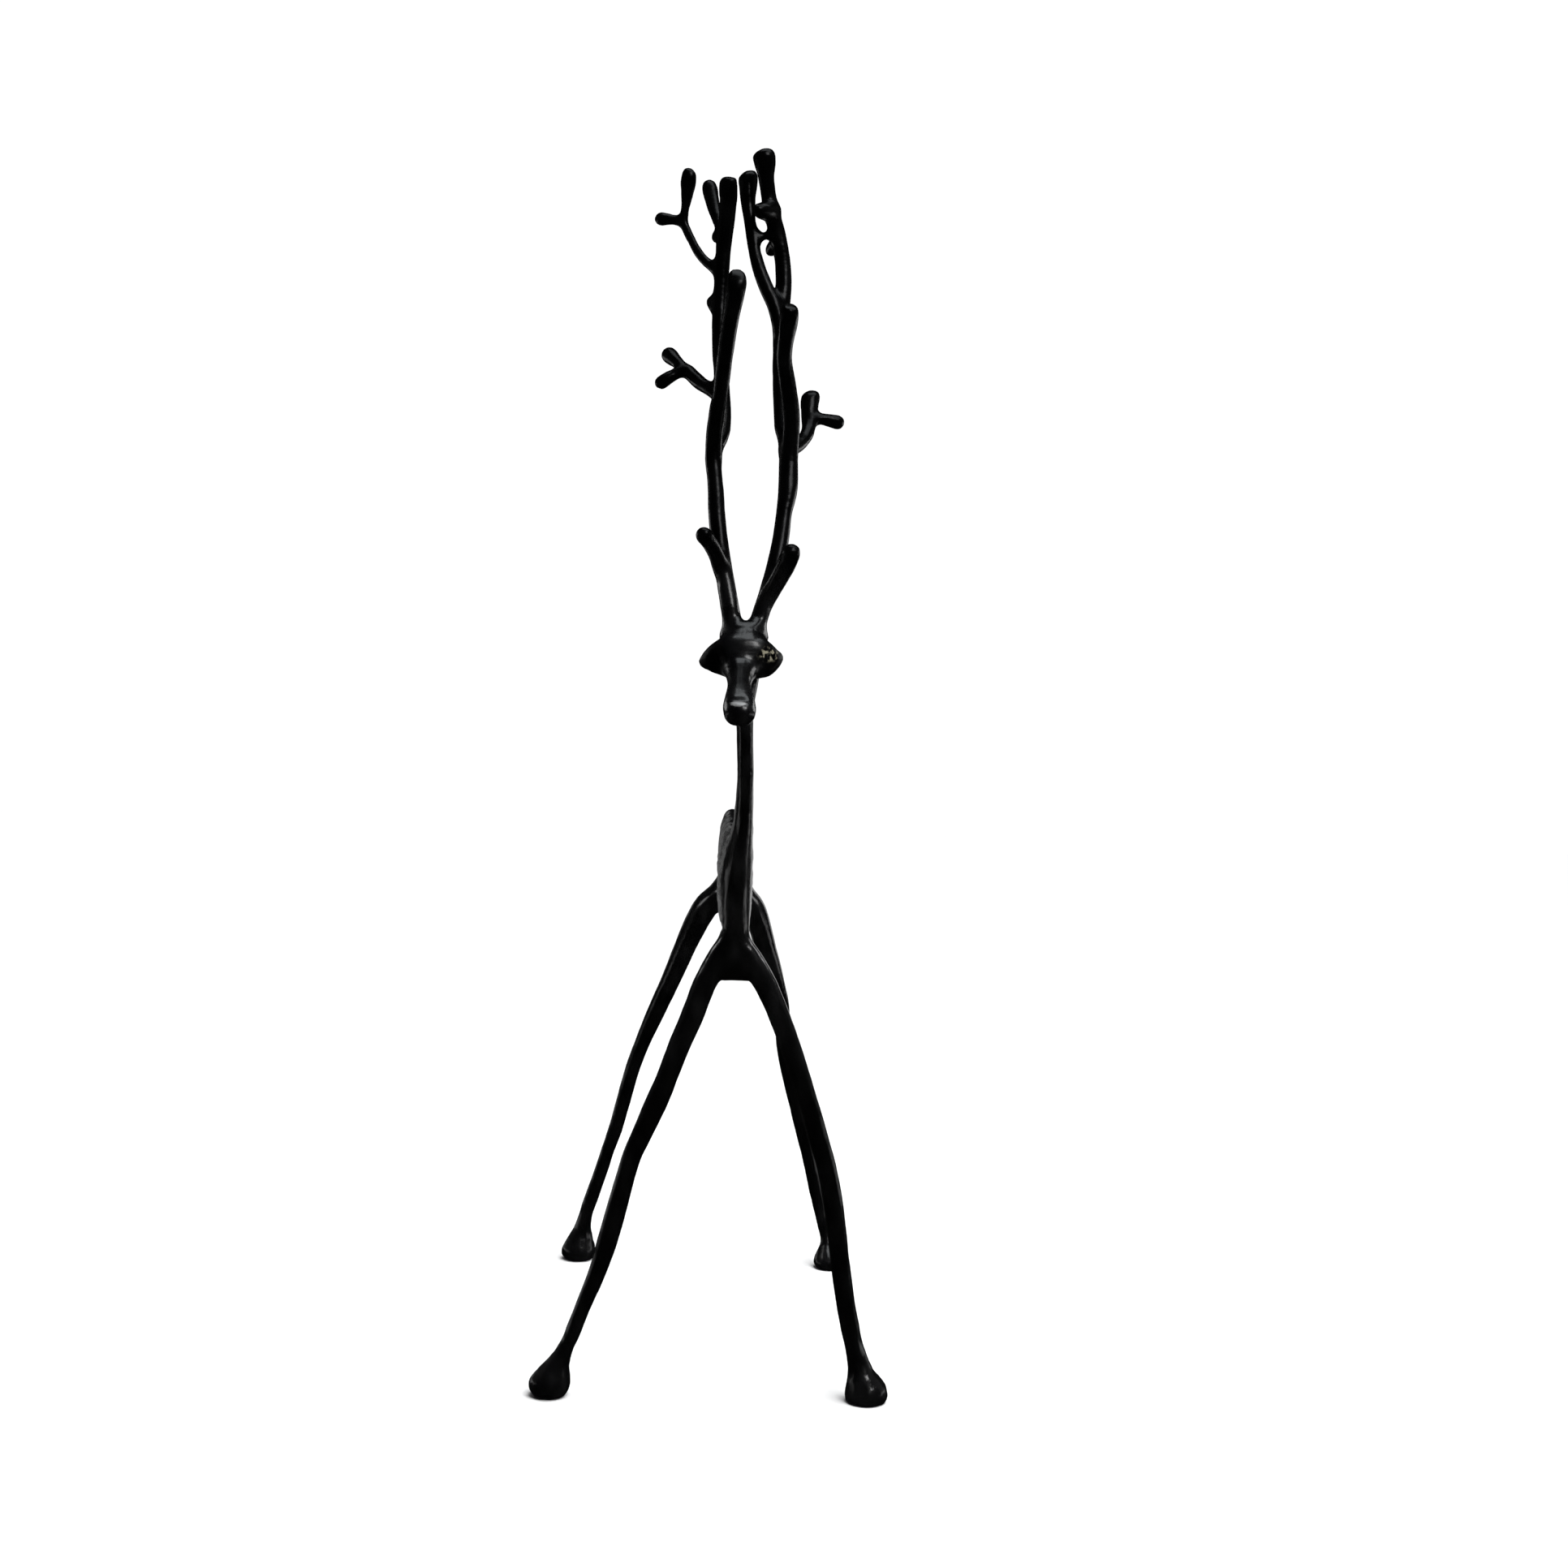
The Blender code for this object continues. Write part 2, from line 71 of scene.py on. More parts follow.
# How high or deep the marks on the skin are, in metres
RELIEF = {
    "Lumps": 0.00028,
    "Dents": 0.00007,
    "Flank waves": 0.0009,
    "Ear cups": 0.0011,
    "Forehead": 0.0016,
    "Nose crease": 0.0005,
    "Waist crease": 0.0004,
}
HOOF_DENTS = 2.2  # how much deeper the dents are on the hooves
UPPER_CALM = 0.5  # how much of the lumps is left off above the throat
EAR_RAGGEDNESS = 0.5  # how uneven the hollows of the ears are
RAISED = (-0.0001, 0.0002)  # lumps from this height to this one are rubbed more and more

# How fine the marks are, as noise cells to the metre, and how they are drawn out
LUMP_GRAIN = 150.0
LUMP_STRETCH = (1, 1, 0.45)
DENT_GRAIN = 330.0
DENT_BEND = 0.4
WAVE_GRAIN = 190.0
WAVE_STRETCH = (1, 0.16, 1)
EAR_GRAIN = 700.0
CLOUD_GRAIN = 70.0
STREAK_GRAIN = 420.0
STREAK_STRETCH = (1, 0.14, 1)
STREAK_TILT = 0.157  # radians that the flanks' streaks slope by
FLECK_GRAIN = 480.0
HAMMER_GRAIN = 380.0
HAMMER_STRETCH = (0.4, 0.4, 1.2)
PIT_GRAIN = 800.0
PIT_STRETCH = (1, 1, 0.5)

# Heights where one finish gives way to another, in metres
HOOF_TOPS = (0.018, 0.032)
ANKLES = (0.020, 0.035)
LEG_TOPS = (0.125, 0.165)
CHEST_TOP = (0.196, 0.208)
THROAT = (0.262, 0.285)
ANTLER_ROOTS = (0.315, 0.335)

# Where the body's flanks are, in metres
FLANK_LOW = (-0.026, -0.075, 0.178)
FLANK_HIGH = (0.034, 0.118, 0.252)
FLANK_EDGE = 0.012
HIND_LEGS = (0.020, 0.105)  # over this length the flank's lower edge rises
HIND_RISE = 0.026
HIND_EDGE = 0.024  # how much wider that edge's fading gets
FACING_SIDEWAYS = (0.30, 0.62)  # the normal's share to the side, from no paleness to the flanks' full paleness: wear, with painted side sheen
CHEST_WEAR_AND_SHEEN = 0.3

# Where the small marks are: the middle, the reach either way and the share of it that is whole
LEFT_EAR_CUP = ((-0.0055, -0.1035, 0.2915), (0.0062, 0.0040, 0.0048), 0.1)
RIGHT_EAR_CUP = ((0.0140, -0.1035, 0.2925), (0.0062, 0.0040, 0.0048), 0.1)
# Pale yellowish flecks in the right ear's cup: painted glints
RIGHT_EAR_GLINTS = ((0.0142, -0.1030, 0.2945), (0.0066, 0.0060, 0.0034), 0.5)
# The ears, whose reflections are taken away as painted shade
LEFT_EAR = ((-0.0070, -0.1000, 0.2920), (0.0090, 0.0120, 0.0090), 0.6)
RIGHT_EAR = ((0.0155, -0.1000, 0.2930), (0.0090, 0.0120, 0.0090), 0.6)
FOREHEAD = ((0.0058, -0.0995, 0.3052), (0.0100, 0.0090, 0.0056), 0.1)
NOSE_CREASE = ((0.0027, -0.1300, 0.2760), (0.0066, 0.0080, 0.0016), 0.1)
# A pale reflective patch on the nose's upper edge: a painted highlight
NOSE_HIGHLIGHT = ((0.0026, -0.1300, 0.2745), (0.0034, 0.0060, 0.0010), 0.5)
WAIST_CREASE = ((0.0017, -0.0717, 0.1865), (0.0110, 0.0080, 0.0018), 0.2)

# Colours of the metal
DEEP_BLACK = (0.0004, 0.0004, 0.0006, 1)
CLOUDY_BLACK = (0.0014, 0.0014, 0.0018, 1)
# Pale metal for wear on the raised lumps and the flanks, also used for painted side sheen and the
# nose's painted highlight
RUBBED_AND_SHEEN_METAL = (0.42, 0.42, 0.42, 1)
# Colour of the painted glints in the right ear's cup
GLINT_FLECK_METAL = (0.26, 0.24, 0.17, 1)

# How far each mark shows: its noise from this value to this one, and its share
CLOUD_RANGE = (-0.35, 0.45)
STREAK_RANGE = (-0.15, 0.5)
FLECK_RANGE = (0.02, 0.20)
FLECK_COVER = 0.9
# Share of the flanks' paleness, wear with painted side sheen: at least, and along the streaks
FLANK_PALE_LEAST = 0.15
FLANK_PALE_STREAKS = 0.85
RUBBED_LUMPS = 0.01

# The patina's roughness and what each mark adds to it
PATINA_ROUGHNESS = 0.20
CLOUD_ROUGHNESS = 0.05
UPPER_ROUGHNESS = 0.05
RUBBED_AND_SHEEN_ROUGHNESS = 0.25
FLECK_ROUGHNESS = 0.3
EAR_SHADE_ROUGHNESS = 0.1

# The wax: its least cover, what the mottling adds, and what is lost higher up, with less on the
# antlers as painted shade
WAX_ROUGHNESS = 0.16
WAX_LEAST = 0.15
WAX_CLOUD = 0.2
WAX_LOST_ABOVE = 0.7
WAX_CUT_FOR_ANTLER_SHADE = 0.25

# How metallic the paler metal is, and painted shade: how far the black patina swallows the
# reflections of the ears, antlers and legs
METAL_SHARE = 0.9
ANTLER_PAINTED_SHADE = 0.85
LEG_PAINTED_SHADE = 0.6

# Fine unevenness of the surface
BUMP_STRENGTH = 0.6
BUMP_DEPTH = 0.0002
HAMMER_BUMP = 0.6
PIT_BUMP = 0.5

# The floor and the surround
FLOOR_REACH = 6.0
FLOOR_COLOUR = (0.92, 0.92, 0.92, 1)
FLOOR_ROUGHNESS = 0.9
SURROUND_FOR_METAL = 0.006
SURROUND_FOR_CAMERA = 1.044  # added where the camera sees it

# The light from overhead
SKY_TOWARDS = (0.25, -0.12, 1.0)
SKY_STRENGTH = 3.9
SKY_SPREAD = math.radians(50)

# The soft panels: place, the point that they look at, width and height, glow and colour
CHEST = (0, -0.05, 0.19)
YOKE = (0, -0.07, 0.16)
WHITE = (1, 1, 1)
COOL_WHITE = (0.92, 0.97, 1.0)
PANELS = {
    "top_panel": ((0.22, -0.15, 1.35), (0.02, -0.10, 0.3), (0.5, 1.1), 2.3, COOL_WHITE),
    "key_panel": ((0.60, -0.90, 1.15), (0.0, -0.05, 0.25), (0.46, 0.46), 8.0, WHITE),
    "right_panel": ((1.2, 0.10, 0.10), CHEST, (1.1, 0.20), 1.0, WHITE),
    "left_panel": ((-1.2, 0.25, 0.08), CHEST, (1.1, 0.16), 0.5, WHITE),
    "back_right_panel": ((0.42, 1.3, 0.21), CHEST, (0.7, 0.42), 0.6, WHITE),
    "back_left_panel": ((-0.24, 1.35, 0.13), CHEST, (0.4, 0.26), 0.15, WHITE),
    "low_left_panel": ((-0.45, 0.45, 0.045), (0, -0.07, 0.10), (0.7, 0.08), 0.45, WHITE),
    "near_right_panel": ((0.32, 0.14, 0.38), YOKE, (0.16, 0.12), 2.6, WHITE),
    "near_left_panel": ((-0.32, 0.14, 0.38), YOKE, (0.16, 0.12), 2.0, WHITE),
    "high_right_panel": ((1.2, 0.0, 0.75), CHEST, (1.0, 0.9), 0.08, WHITE),
    "high_left_panel": ((-1.2, 0.2, 0.75), CHEST, (1.0, 0.9), 0.04, WHITE),
}

# The camera, as the photograph was taken: nearly level and head on, a little to the left
CAMERA_PLACE = Vector((-0.01525, -0.80238, 0.25314))
CAMERA_YAW = math.radians(-3.02)
CAMERA_PITCH = math.radians(-0.65)
CAMERA_ROLL = math.radians(1.7)
CAMERA_LENS = 42.0
CAMERA_SENSOR = 36.0


class Socket:
    """A node's output that can be used in sums as a number is."""

    def __init__(self, tree, socket):
        self.tree = tree
        self.socket = socket

    def also(self, name):
        """Another output of the same node."""
        return Socket(self.tree, self.socket.node.outputs[name])

    def _sum(self, operation, first, second=None):
        values = {0: first} if second is None else {0: first, 1: second}
        return self.tree.add("ShaderNodeMath", {"operation": operation}, values)

    def __add__(self, other):
        return self._sum("ADD", self, other)

    def __radd__(self, other):
        return self._sum("ADD", other, self)

    def __sub__(self, other):
        return self._sum("SUBTRACT", self, other)

    def __rsub__(self, other):
        return self._sum("SUBTRACT", other, self)

    def __mul__(self, other):
        return self._sum("MULTIPLY", self, other)

    def __rmul__(self, other):
        return self._sum("MULTIPLY", other, self)

    def __abs__(self):
        return self._sum("ABSOLUTE", self)

    def at_least(self, other):
        return self._sum("MAXIMUM", self, other)

    def at_most(self, other):
        return self._sum("MINIMUM", self, other)


class Tree:
    """A node tree that is written as expressions."""

    def __init__(self, tree):
        self.tree = tree

    def add(self, kind, settings=None, values=None, out=0):
        """Add a node, give it its settings, then the values or links of its inputs."""
        node = self.tree.nodes.new(kind)
        for name, value in (settings or {}).items():
            setattr(node, name, value)
        self.feed(node, values or {})
        return Socket(self, node.outputs[out]) if node.outputs else node

    def feed(self, node, values):
        """Link or set a node's inputs."""
        for name, value in values.items():
            if isinstance(value, Socket):
                self.tree.links.new(value.socket, node.inputs[name])
            else:
                node.inputs[name].default_value = value

    def vector(self, operation, first, second=None, out=0):
        """Vector maths on one vector or two."""
        values = {0: first} if second is None else {0: first, 1: second}
        return self.add("ShaderNodeVectorMath", {"operation": operation}, values, out)

    def scaled(self, vector, factor):
        """The vector times a number."""
        values = {0: vector, "Scale": factor}
        return self.add("ShaderNodeVectorMath", {"operation": "SCALE"}, values)

    def part(self, vector, axis):
        """One of the vector's three numbers."""
        return self.add("ShaderNodeSeparateXYZ", {}, {0: vector}, axis)

    def noise(self, vector, grain, detail, bend=0.0):
        """Even noise about nought, from about -1 to 1."""
        values = {"Vector": vector, "Scale": grain, "Detail": detail, "Distortion": bend}
        return self.add("ShaderNodeTexNoise", {}, values) * 2 - 1

    def ramp_up(self, value, low, high):
        """From 0 at low to 1 at high, smoothly."""
        settings = {"interpolation_type": "SMOOTHSTEP", "clamp": True}
        values = {"Value": value, "From Min": low, "From Max": high, "To Min": 0.0, "To Max": 1.0}
        return self.add("ShaderNodeMapRange", settings, values)

    def near(self, place, centre, reach, core):
        """1 inside an egg round the centre, 0 outside it, with a soft edge."""
        away = self.vector("SUBTRACT", place, centre)
        away = self.vector("DIVIDE", away, reach)
        distance = self.vector("LENGTH", away, out="Value")
        return 1 - self.ramp_up(distance, core, 1.0)

    def along_flank(self, place, stretch):
        """Places turned to the slope of the flanks' streaks and drawn out along them."""
        values = {"Vector": place, "Angle": STREAK_TILT}
        turned = self.add("ShaderNodeVectorRotate", {"rotation_type": "X_AXIS"}, values)
        return self.vector("MULTIPLY", turned, stretch)

    def mark(self, name):
        """A number that the relief kept on the skin, read by a material."""
        return self.add("ShaderNodeAttribute", {"attribute_name": name}, out="Fac")

    def mixed(self, factor, first, second):
        """The first colour where the factor is 0, the second where it is 1."""
        values = {"Factor": factor, "A": first, "B": second}
        return self.add("ShaderNodeMix", {"data_type": "RGBA"}, values, out=2)


def geometry_tree(name, inputs):
    """An empty Geometry Nodes tree with named inputs: its group, its writer and its start."""
    group = bpy.data.node_groups.new(name, "GeometryNodeTree")
    group.interface.new_socket("Geometry", in_out="INPUT", socket_type="NodeSocketGeometry")
    group.interface.new_socket("Geometry", in_out="OUTPUT", socket_type="NodeSocketGeometry")
    for label, kind, value in inputs:
        socket = group.interface.new_socket(label, in_out="INPUT", socket_type=kind)
        socket.default_value = value
    tree = Tree(group)
    return group, tree, tree.add("NodeGroupInput")


def close_tree(tree, mesh, material):
    """End the tree in plain mesh with its material."""
    plain = tree.add("GeometryNodeRealizeInstances", {}, {0: mesh})
    values = {"Geometry": plain, "Material": material}
    dressed = tree.add("GeometryNodeSetMaterial", {}, values)
    tree.add("NodeGroupOutput", {}, {0: dressed})


def use_tree(obj, label, group, values):
    """Put the tree on the object, with its inputs set by their identifiers."""
    modifier = obj.modifiers.new(label, "NODES")
    modifier.node_group = group
    for item in group.interface.items_tree:
        if item.item_type == "SOCKET" and item.in_out == "INPUT" and item.name in values:
            modifier[item.identifier] = values[item.name]


def store(tree, mesh, name, kind, value):
    """Keep a value on the mesh's points under a name."""
    settings = {"data_type": kind, "domain": "POINT"}
    values = {"Geometry": mesh, "Name": name, "Value": value}
    return tree.add("GeometryNodeStoreNamedAttribute", settings, values)


def stored_vector(tree, name):
    """A vector that was kept on the mesh under a name."""
    settings = {"data_type": "FLOAT_VECTOR"}
    return tree.add("GeometryNodeInputNamedAttribute", settings, {"Name": name})


def rounded_form_tree(material):
    """Cuts each facet up and swells it to the curve that its corners' normals ask for."""
    inputs = [("Cuts", "NodeSocketInt", 1), ("Share", "NodeSocketFloat", 0.5)]
    group, tree, start = geometry_tree("rounded_form", inputs)
    rows = ("pull_x", "pull_y", "pull_z")
    place = tree.add("GeometryNodeInputPosition")
    normal = tree.add("GeometryNodeInputNormal")
    level = tree.vector("DOT_PRODUCT", place, normal, out="Value")
    mesh = store(tree, start, "pull", "FLOAT_VECTOR", tree.scaled(normal, level))
    for axis, label in enumerate(rows):
        row = tree.scaled(normal, tree.part(normal, axis))
        mesh = store(tree, mesh, label, "FLOAT_VECTOR", row)

    values = {"Mesh": mesh, "Level": start.also("Cuts")}
    mesh = tree.add("GeometryNodeSubdivideMesh", {}, values)
    pulls = {}
    for axis, label in zip("XYZ", rows):
        row = stored_vector(tree, label)
        pulls[axis] = tree.vector("DOT_PRODUCT", row, place, out="Value")
    off_plane = tree.add("ShaderNodeCombineXYZ", {}, pulls)
    off_plane = tree.vector("SUBTRACT", off_plane, stored_vector(tree, "pull"))
    offset = tree.scaled(off_plane, 0 - start.also("Share"))
    mesh = tree.add("GeometryNodeSetPosition", {}, {"Geometry": mesh, "Offset": offset})
    close_tree(tree, mesh, material)
    return group


def flank_mask(tree, place):
    """1 on the body's flanks, fading to 0 at the edges; over the hind legs it starts higher."""
    over_legs = tree.ramp_up(tree.part(place, 1), *HIND_LEGS)
    mask = None
    for axis in (0, 1, 2):
        value = tree.part(place, axis)
        edge = FLANK_EDGE
        if axis == 2:
            value = value - over_legs * HIND_RISE
            edge = FLANK_EDGE + over_legs * HIND_EDGE
        low = tree.ramp_up(value, FLANK_LOW[axis], FLANK_LOW[axis] + edge)
        high = 1 - tree.ramp_up(value, FLANK_HIGH[axis] - FLANK_EDGE, FLANK_HIGH[axis])
        mask = low * high if mask is None else mask * low * high
    return mask


def relief_tree(material):
    """The marks of the hand and of the mould on the cast skin."""
    inputs = [(label, "NodeSocketFloat", 0.0) for label in RELIEF]
    inputs += [(label, "NodeSocketVector", (0, 0, 0)) for label in ("Lowest", "Highest")]
    group, tree, start = geometry_tree("hand_modelled_relief", inputs)
    place = tree.add("GeometryNodeInputPosition")
    normal = tree.add("GeometryNodeInputNormal")
    level = tree.part(place, 2)

    drawn_out = tree.vector("MULTIPLY", place, LUMP_STRETCH)
    lumps = tree.noise(drawn_out, LUMP_GRAIN, 1.0) * start.also("Lumps")
    dents = tree.noise(place, DENT_GRAIN, 1.0, DENT_BEND) * start.also("Dents")
    hooves = 1 - tree.ramp_up(level, *HOOF_TOPS)
    dents = dents * (1 + HOOF_DENTS * hooves)

    flank = flank_mask(tree, place)
    waves = tree.noise(tree.along_flank(place, WAVE_STRETCH), WAVE_GRAIN, 2.0)
    waves = waves * flank * start.also("Flank waves")
    # The flanks grow paler where they face sideways: brush-streak wear, with painted side sheen
    # where the side lights fall
    sideways = tree.ramp_up(abs(tree.part(normal, 0)), *FACING_SIDEWAYS)
    chest = 1 - tree.ramp_up(level, *CHEST_TOP)
    wear_and_side_sheen = flank * sideways.at_least(chest * CHEST_WEAR_AND_SHEEN)

    cups = tree.near(place, *LEFT_EAR_CUP) + tree.near(place, *RIGHT_EAR_CUP)
    raggedness = tree.noise(place, EAR_GRAIN, 2.0) * EAR_RAGGEDNESS + 1
    cup_depth = cups * start.also("Ear cups") * raggedness
    forehead = tree.near(place, *FOREHEAD) * start.also("Forehead")
    nose_crease = tree.near(place, *NOSE_CREASE) * start.also("Nose crease")
    waist = tree.near(place, *WAIST_CREASE) * start.also("Waist crease")

    above = tree.ramp_up(level, *THROAT)
    calm = (1 - cups.at_most(1.0)) * (1 - UPPER_CALM * above)
    height = (lumps + dents) * calm + waves - cup_depth + forehead - nose_crease - waist
    moved = tree.vector("ADD", place, tree.scaled(normal, height))
    moved = tree.vector("MAXIMUM", moved, start.also("Lowest"))
    moved = tree.vector("MINIMUM", moved, start.also("Highest"))
    mesh = tree.add("GeometryNodeSetPosition", {}, {"Geometry": start, "Position": moved})

    ears = tree.near(place, *LEFT_EAR) + tree.near(place, *RIGHT_EAR)
    marks = {
        # the flanks' wear with painted side sheen
        "wear_and_side_sheen": wear_and_side_sheen,
        # the ears' painted shade
        "ears": ears.at_most(1.0),
        # the nose's painted highlight
        "nose_highlight": tree.near(place, *NOSE_HIGHLIGHT),
        # the right ear's painted glints
        "right_ear_glints": tree.near(place, *RIGHT_EAR_GLINTS),
        "raised": tree.ramp_up(lumps, *RAISED),
    }
    for name, value in marks.items():
        mesh = store(tree, mesh, name, "FLOAT", value)
    close_tree(tree, mesh, material)
    return group


def plain_copy(node):
    """A merged copy of a solid's loose triangles, parted again where it is creased."""
    mesh = node.data.copy()
    shape = bmesh.new()
    shape.from_mesh(mesh)
    bmesh.ops.remove_doubles(shape, verts=shape.verts, dist=MERGE_REACH)
    creased = [edge for edge in shape.edges if edge.calc_face_angle(0) > CREASE]
    bmesh.ops.split_edges(shape, edges=creased)
    shape.to_mesh(mesh)
    shape.free()
    mesh.shade_smooth()
    return mesh


def as_plain_object(obj, name):
    """A new object with the mesh that the given one's modifiers make; the given one goes."""
    graph = bpy.context.evaluated_depsgraph_get()
    mesh = bpy.data.meshes.new_from_object(obj.evaluated_get(graph))
    bpy.data.objects.remove(obj, do_unlink=True)
    mesh.name = name
    mesh.shade_smooth()
    plain = bpy.data.objects.new(name, mesh)
    bpy.context.collection.objects.link(plain)
    return plain


def keep_inside(obj, low, high):
    """Bring the few points that thinning moved outside the solid's box back to it."""
    for point in obj.data.vertices:
        reach = zip(point.co, low, high)
        point.co = [min(max(value, least), most) for value, least, most in reach]


def cast_figure(node, low, high, material):
    """The whole figure in one skin: the solid's form, rounded, with the maker's marks on it."""
    rough = bpy.data.objects.new("rough_figure", plain_copy(node))
    bpy.context.collection.objects.link(rough)
    values = {"Cuts": ROUND_CUTS, "Share": ROUND_SHARE}
    use_tree(rough, "rounded_form", rounded_form_tree(material), values)
    remesh = rough.modifiers.new("even_grid", "REMESH")
    remesh.mode = "VOXEL"
    remesh.voxel_size = SKIN_GRID
    smooth = rough.modifiers.new("even_out", "SMOOTH")
    smooth.factor = SKIN_EVENING
    smooth.iterations = SKIN_PASSES
    values = {**RELIEF, "Lowest": low, "Highest": high}
    use_tree(rough, "hand_modelled_relief", relief_tree(material), values)

    graph = bpy.context.evaluated_depsgraph_get()
    faces = rough.evaluated_get(graph).data.polygons
    triangles = sum(len(face.vertices) - 2 for face in faces)
    thin = rough.modifiers.new("thinned", "DECIMATE")
    thin.ratio = min(1, SKIN_TRIANGLES / triangles)
    figure = as_plain_object(rough, "reindeer_cast_skin")
    keep_inside(figure, low, high)
    return figure


def new_material(name):
    """A new material and its shader."""
    material = bpy.data.materials.new(name)
    material.use_nodes = True
    return material, material.node_tree.nodes["Principled BSDF"]


def black_patina():
    """Near-black patina under wax, mottled; paler on the raised places and the flanks as wear with
    painted side sheen, with a painted highlight on the nose, painted glints in the right ear and
    painted shade on the ears, antlers and legs.
    """
    material, shader = new_material("black_patina")
    shader.inputs["Coat Roughness"].default_value = WAX_ROUGHNESS
    tree = Tree(material.node_tree)
    place = tree.add("ShaderNodeTexCoord", out="Object")
    height = tree.part(place, 2)
    upper = tree.ramp_up(height, *THROAT)
    antlers = tree.ramp_up(height, *ANTLER_ROOTS)
    legs = tree.ramp_up(height, *ANKLES) * (1 - tree.ramp_up(height, *LEG_TOPS))

    cloud = tree.ramp_up(tree.noise(place, CLOUD_GRAIN, 4.0), *CLOUD_RANGE)
    streaks = tree.noise(tree.along_flank(place, STREAK_STRETCH), STREAK_GRAIN, 4.0)
    streaks = tree.ramp_up(streaks, *STREAK_RANGE)
    # The flanks' paleness along the streaks: wear, with painted side sheen
    wear_and_side_sheen = tree.mark("wear_and_side_sheen") * (FLANK_PALE_LEAST + FLANK_PALE_STREAKS * streaks)
    # Paler metal: wear, painted side sheen and the nose's painted highlight together
    rubbed_and_sheen = (wear_and_side_sheen + tree.mark("nose_highlight") + tree.mark("raised") * RUBBED_LUMPS).at_most(1.0)
    # Painted glints: pale yellowish flecks in the right ear's cup
    glint_flecks = tree.ramp_up(tree.noise(place, FLECK_GRAIN, 3.0), *FLECK_RANGE)
    glint_flecks = glint_flecks * tree.mark("right_ear_glints")
    # Painted shade: the ears, bar the glints, lose their reflections and stay dark
    ear_painted_shade = tree.mark("ears") * (1 - glint_flecks)
    # Painted shade: the antlers and the legs reflect less so that they render darker
    limb_painted_shade = ANTLER_PAINTED_SHADE * antlers + LEG_PAINTED_SHADE * legs

    base = tree.mixed(cloud, DEEP_BLACK, CLOUDY_BLACK)
    base = tree.mixed(rubbed_and_sheen, base, RUBBED_AND_SHEEN_METAL)
    base = tree.mixed((glint_flecks * FLECK_COVER).at_most(1.0), base, GLINT_FLECK_METAL)
    roughness = PATINA_ROUGHNESS + CLOUD_ROUGHNESS * cloud + UPPER_ROUGHNESS * upper
    roughness = roughness + RUBBED_AND_SHEEN_ROUGHNESS * rubbed_and_sheen + FLECK_ROUGHNESS * glint_flecks
    roughness = roughness + EAR_SHADE_ROUGHNESS * ear_painted_shade
    wax = (WAX_LEAST + WAX_CLOUD * cloud) * (1 - ear_painted_shade)
    wax = wax * (1 - WAX_LOST_ABOVE * upper - WAX_CUT_FOR_ANTLER_SHADE * antlers)
    hammered = tree.vector("MULTIPLY", place, HAMMER_STRETCH)
    hammered = HAMMER_BUMP * tree.noise(hammered, HAMMER_GRAIN, 1.0) * upper
    pitted = tree.vector("MULTIPLY", place, PIT_STRETCH)
    pitted = PIT_BUMP * tree.noise(pitted, PIT_GRAIN, 2.0) * (1 - upper)
    values = {"Strength": BUMP_STRENGTH, "Distance": BUMP_DEPTH, "Height": hammered + pitted}
    tree.feed(shader, {
        "Base Color": base,
        "Roughness": roughness,
        "Coat Weight": wax,
        "Metallic": METAL_SHARE * rubbed_and_sheen.at_least(ear_painted_shade).at_least(limb_painted_shade),
        "Normal": tree.add("ShaderNodeBump", {}, values),
    })
    return material


def studio_floor():
    """A wide pale floor, level with the soles."""
    material, shader = new_material("pale_floor")
    shader.inputs["Base Color"].default_value = FLOOR_COLOUR
    shader.inputs["Roughness"].default_value = FLOOR_ROUGHNESS
    mesh = bpy.data.meshes.new("studio_floor")
    corners = [(-1, -1), (1, -1), (1, 1), (-1, 1)]
    corners = [(x * FLOOR_REACH, y * FLOOR_REACH, 0) for x, y in corners]
    mesh.from_pydata(corners, [], [(0, 1, 2, 3)])
    mesh.materials.append(material)
    floor = bpy.data.objects.new("studio_floor", mesh)
    bpy.context.collection.objects.link(floor)
    floor.visible_glossy = False


def new_lamp(light, rotation):
    """The lamp that carries a light, turned as given."""
    lamp = bpy.data.objects.new(light.name, light)
    bpy.context.collection.objects.link(lamp)
    lamp.rotation_euler = rotation.to_euler()
    return lamp


def soft_panel(name, place, aim, size, glow, colour):
    """A rectangular soft light that looks at a point and shows as bright as its glow says."""
    light = bpy.data.lights.new(name, "AREA")
    light.shape = "RECTANGLE"
    light.size, light.size_y = size
    light.energy = glow * math.pi * size[0] * size[1]
    light.color = colour
    place = Vector(place)
    lamp = new_lamp(light, (Vector(aim) - place).to_track_quat("-Z", "Y"))
    lamp.location = place
    lamp.visible_camera = False


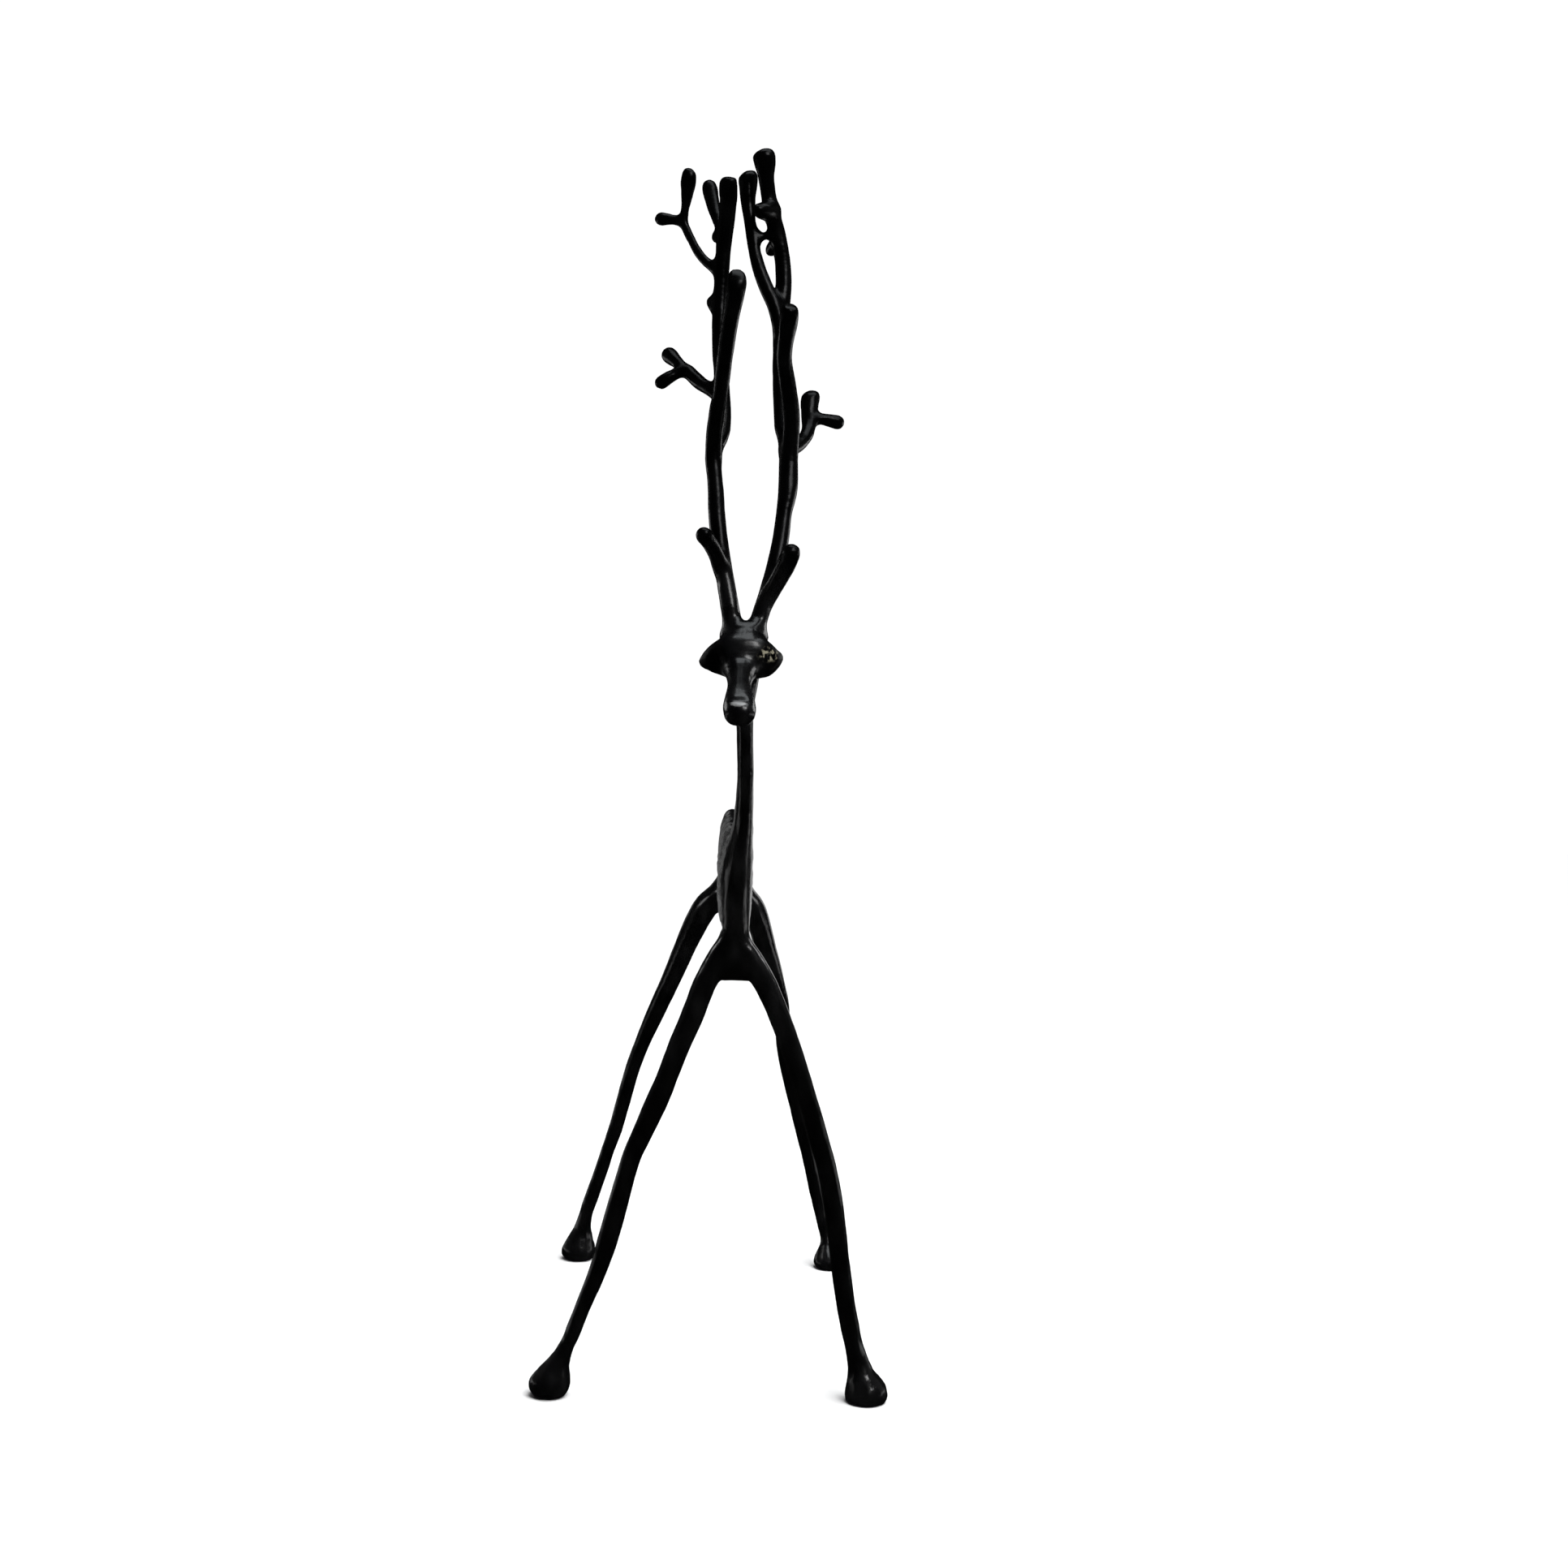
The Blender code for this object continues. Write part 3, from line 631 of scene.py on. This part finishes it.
def overhead_sky():
    """A wide soft light from far above, the same all over the floor."""
    light = bpy.data.lights.new("overhead_sky", "SUN")
    light.energy = SKY_STRENGTH
    light.angle = SKY_SPREAD
    lamp = new_lamp(light, Vector(SKY_TOWARDS).to_track_quat("Z", "Y"))
    lamp.visible_glossy = False


def studio_light():
    """A white surround that the camera sees, a dimmer one that the metal sees, and soft panels."""
    world = bpy.data.worlds.new("studio")
    bpy.context.scene.world = world
    world.use_nodes = True
    tree = Tree(world.node_tree)
    seen = tree.add("ShaderNodeLightPath", out="Is Camera Ray")
    strength = SURROUND_FOR_METAL + SURROUND_FOR_CAMERA * seen
    values = {"Strength": strength, "Color": (*WHITE, 1)}
    tree.feed(world.node_tree.nodes["Background"], values)
    overhead_sky()
    for name, panel in PANELS.items():
        soft_panel(name, *panel)
    bpy.context.scene.view_settings.view_transform = "Standard"


def photo_camera():
    """The camera at the photograph's place and angle."""
    forward = Vector((
        -math.sin(CAMERA_YAW) * math.cos(CAMERA_PITCH),
        math.cos(CAMERA_YAW) * math.cos(CAMERA_PITCH),
        math.sin(CAMERA_PITCH),
    ))
    level_right = forward.cross(Vector((0, 0, 1))).normalized()
    level_up = level_right.cross(forward)
    right = level_right * math.cos(CAMERA_ROLL) + level_up * math.sin(CAMERA_ROLL)
    up = level_up * math.cos(CAMERA_ROLL) - level_right * math.sin(CAMERA_ROLL)
    data = bpy.data.cameras.new("photo_camera")
    data.lens = CAMERA_LENS
    data.sensor_width = CAMERA_SENSOR
    camera = bpy.data.objects.new("photo_camera", data)
    bpy.context.collection.objects.link(camera)
    turn = Matrix((right, up, -forward)).transposed().to_4x4()
    camera.matrix_world = Matrix.Translation(CAMERA_PLACE) @ turn
    bpy.context.scene.camera = camera


def main():
    """Dress the figure inside the solid's box and set the stage round it."""
    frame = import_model()
    low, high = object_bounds()
    figure = cast_figure(frame["nodes"]["reindeer"], low, high, black_patina())
    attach(figure, "root")
    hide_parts("reindeer")
    studio_floor()
    studio_light()
    photo_camera()


main()
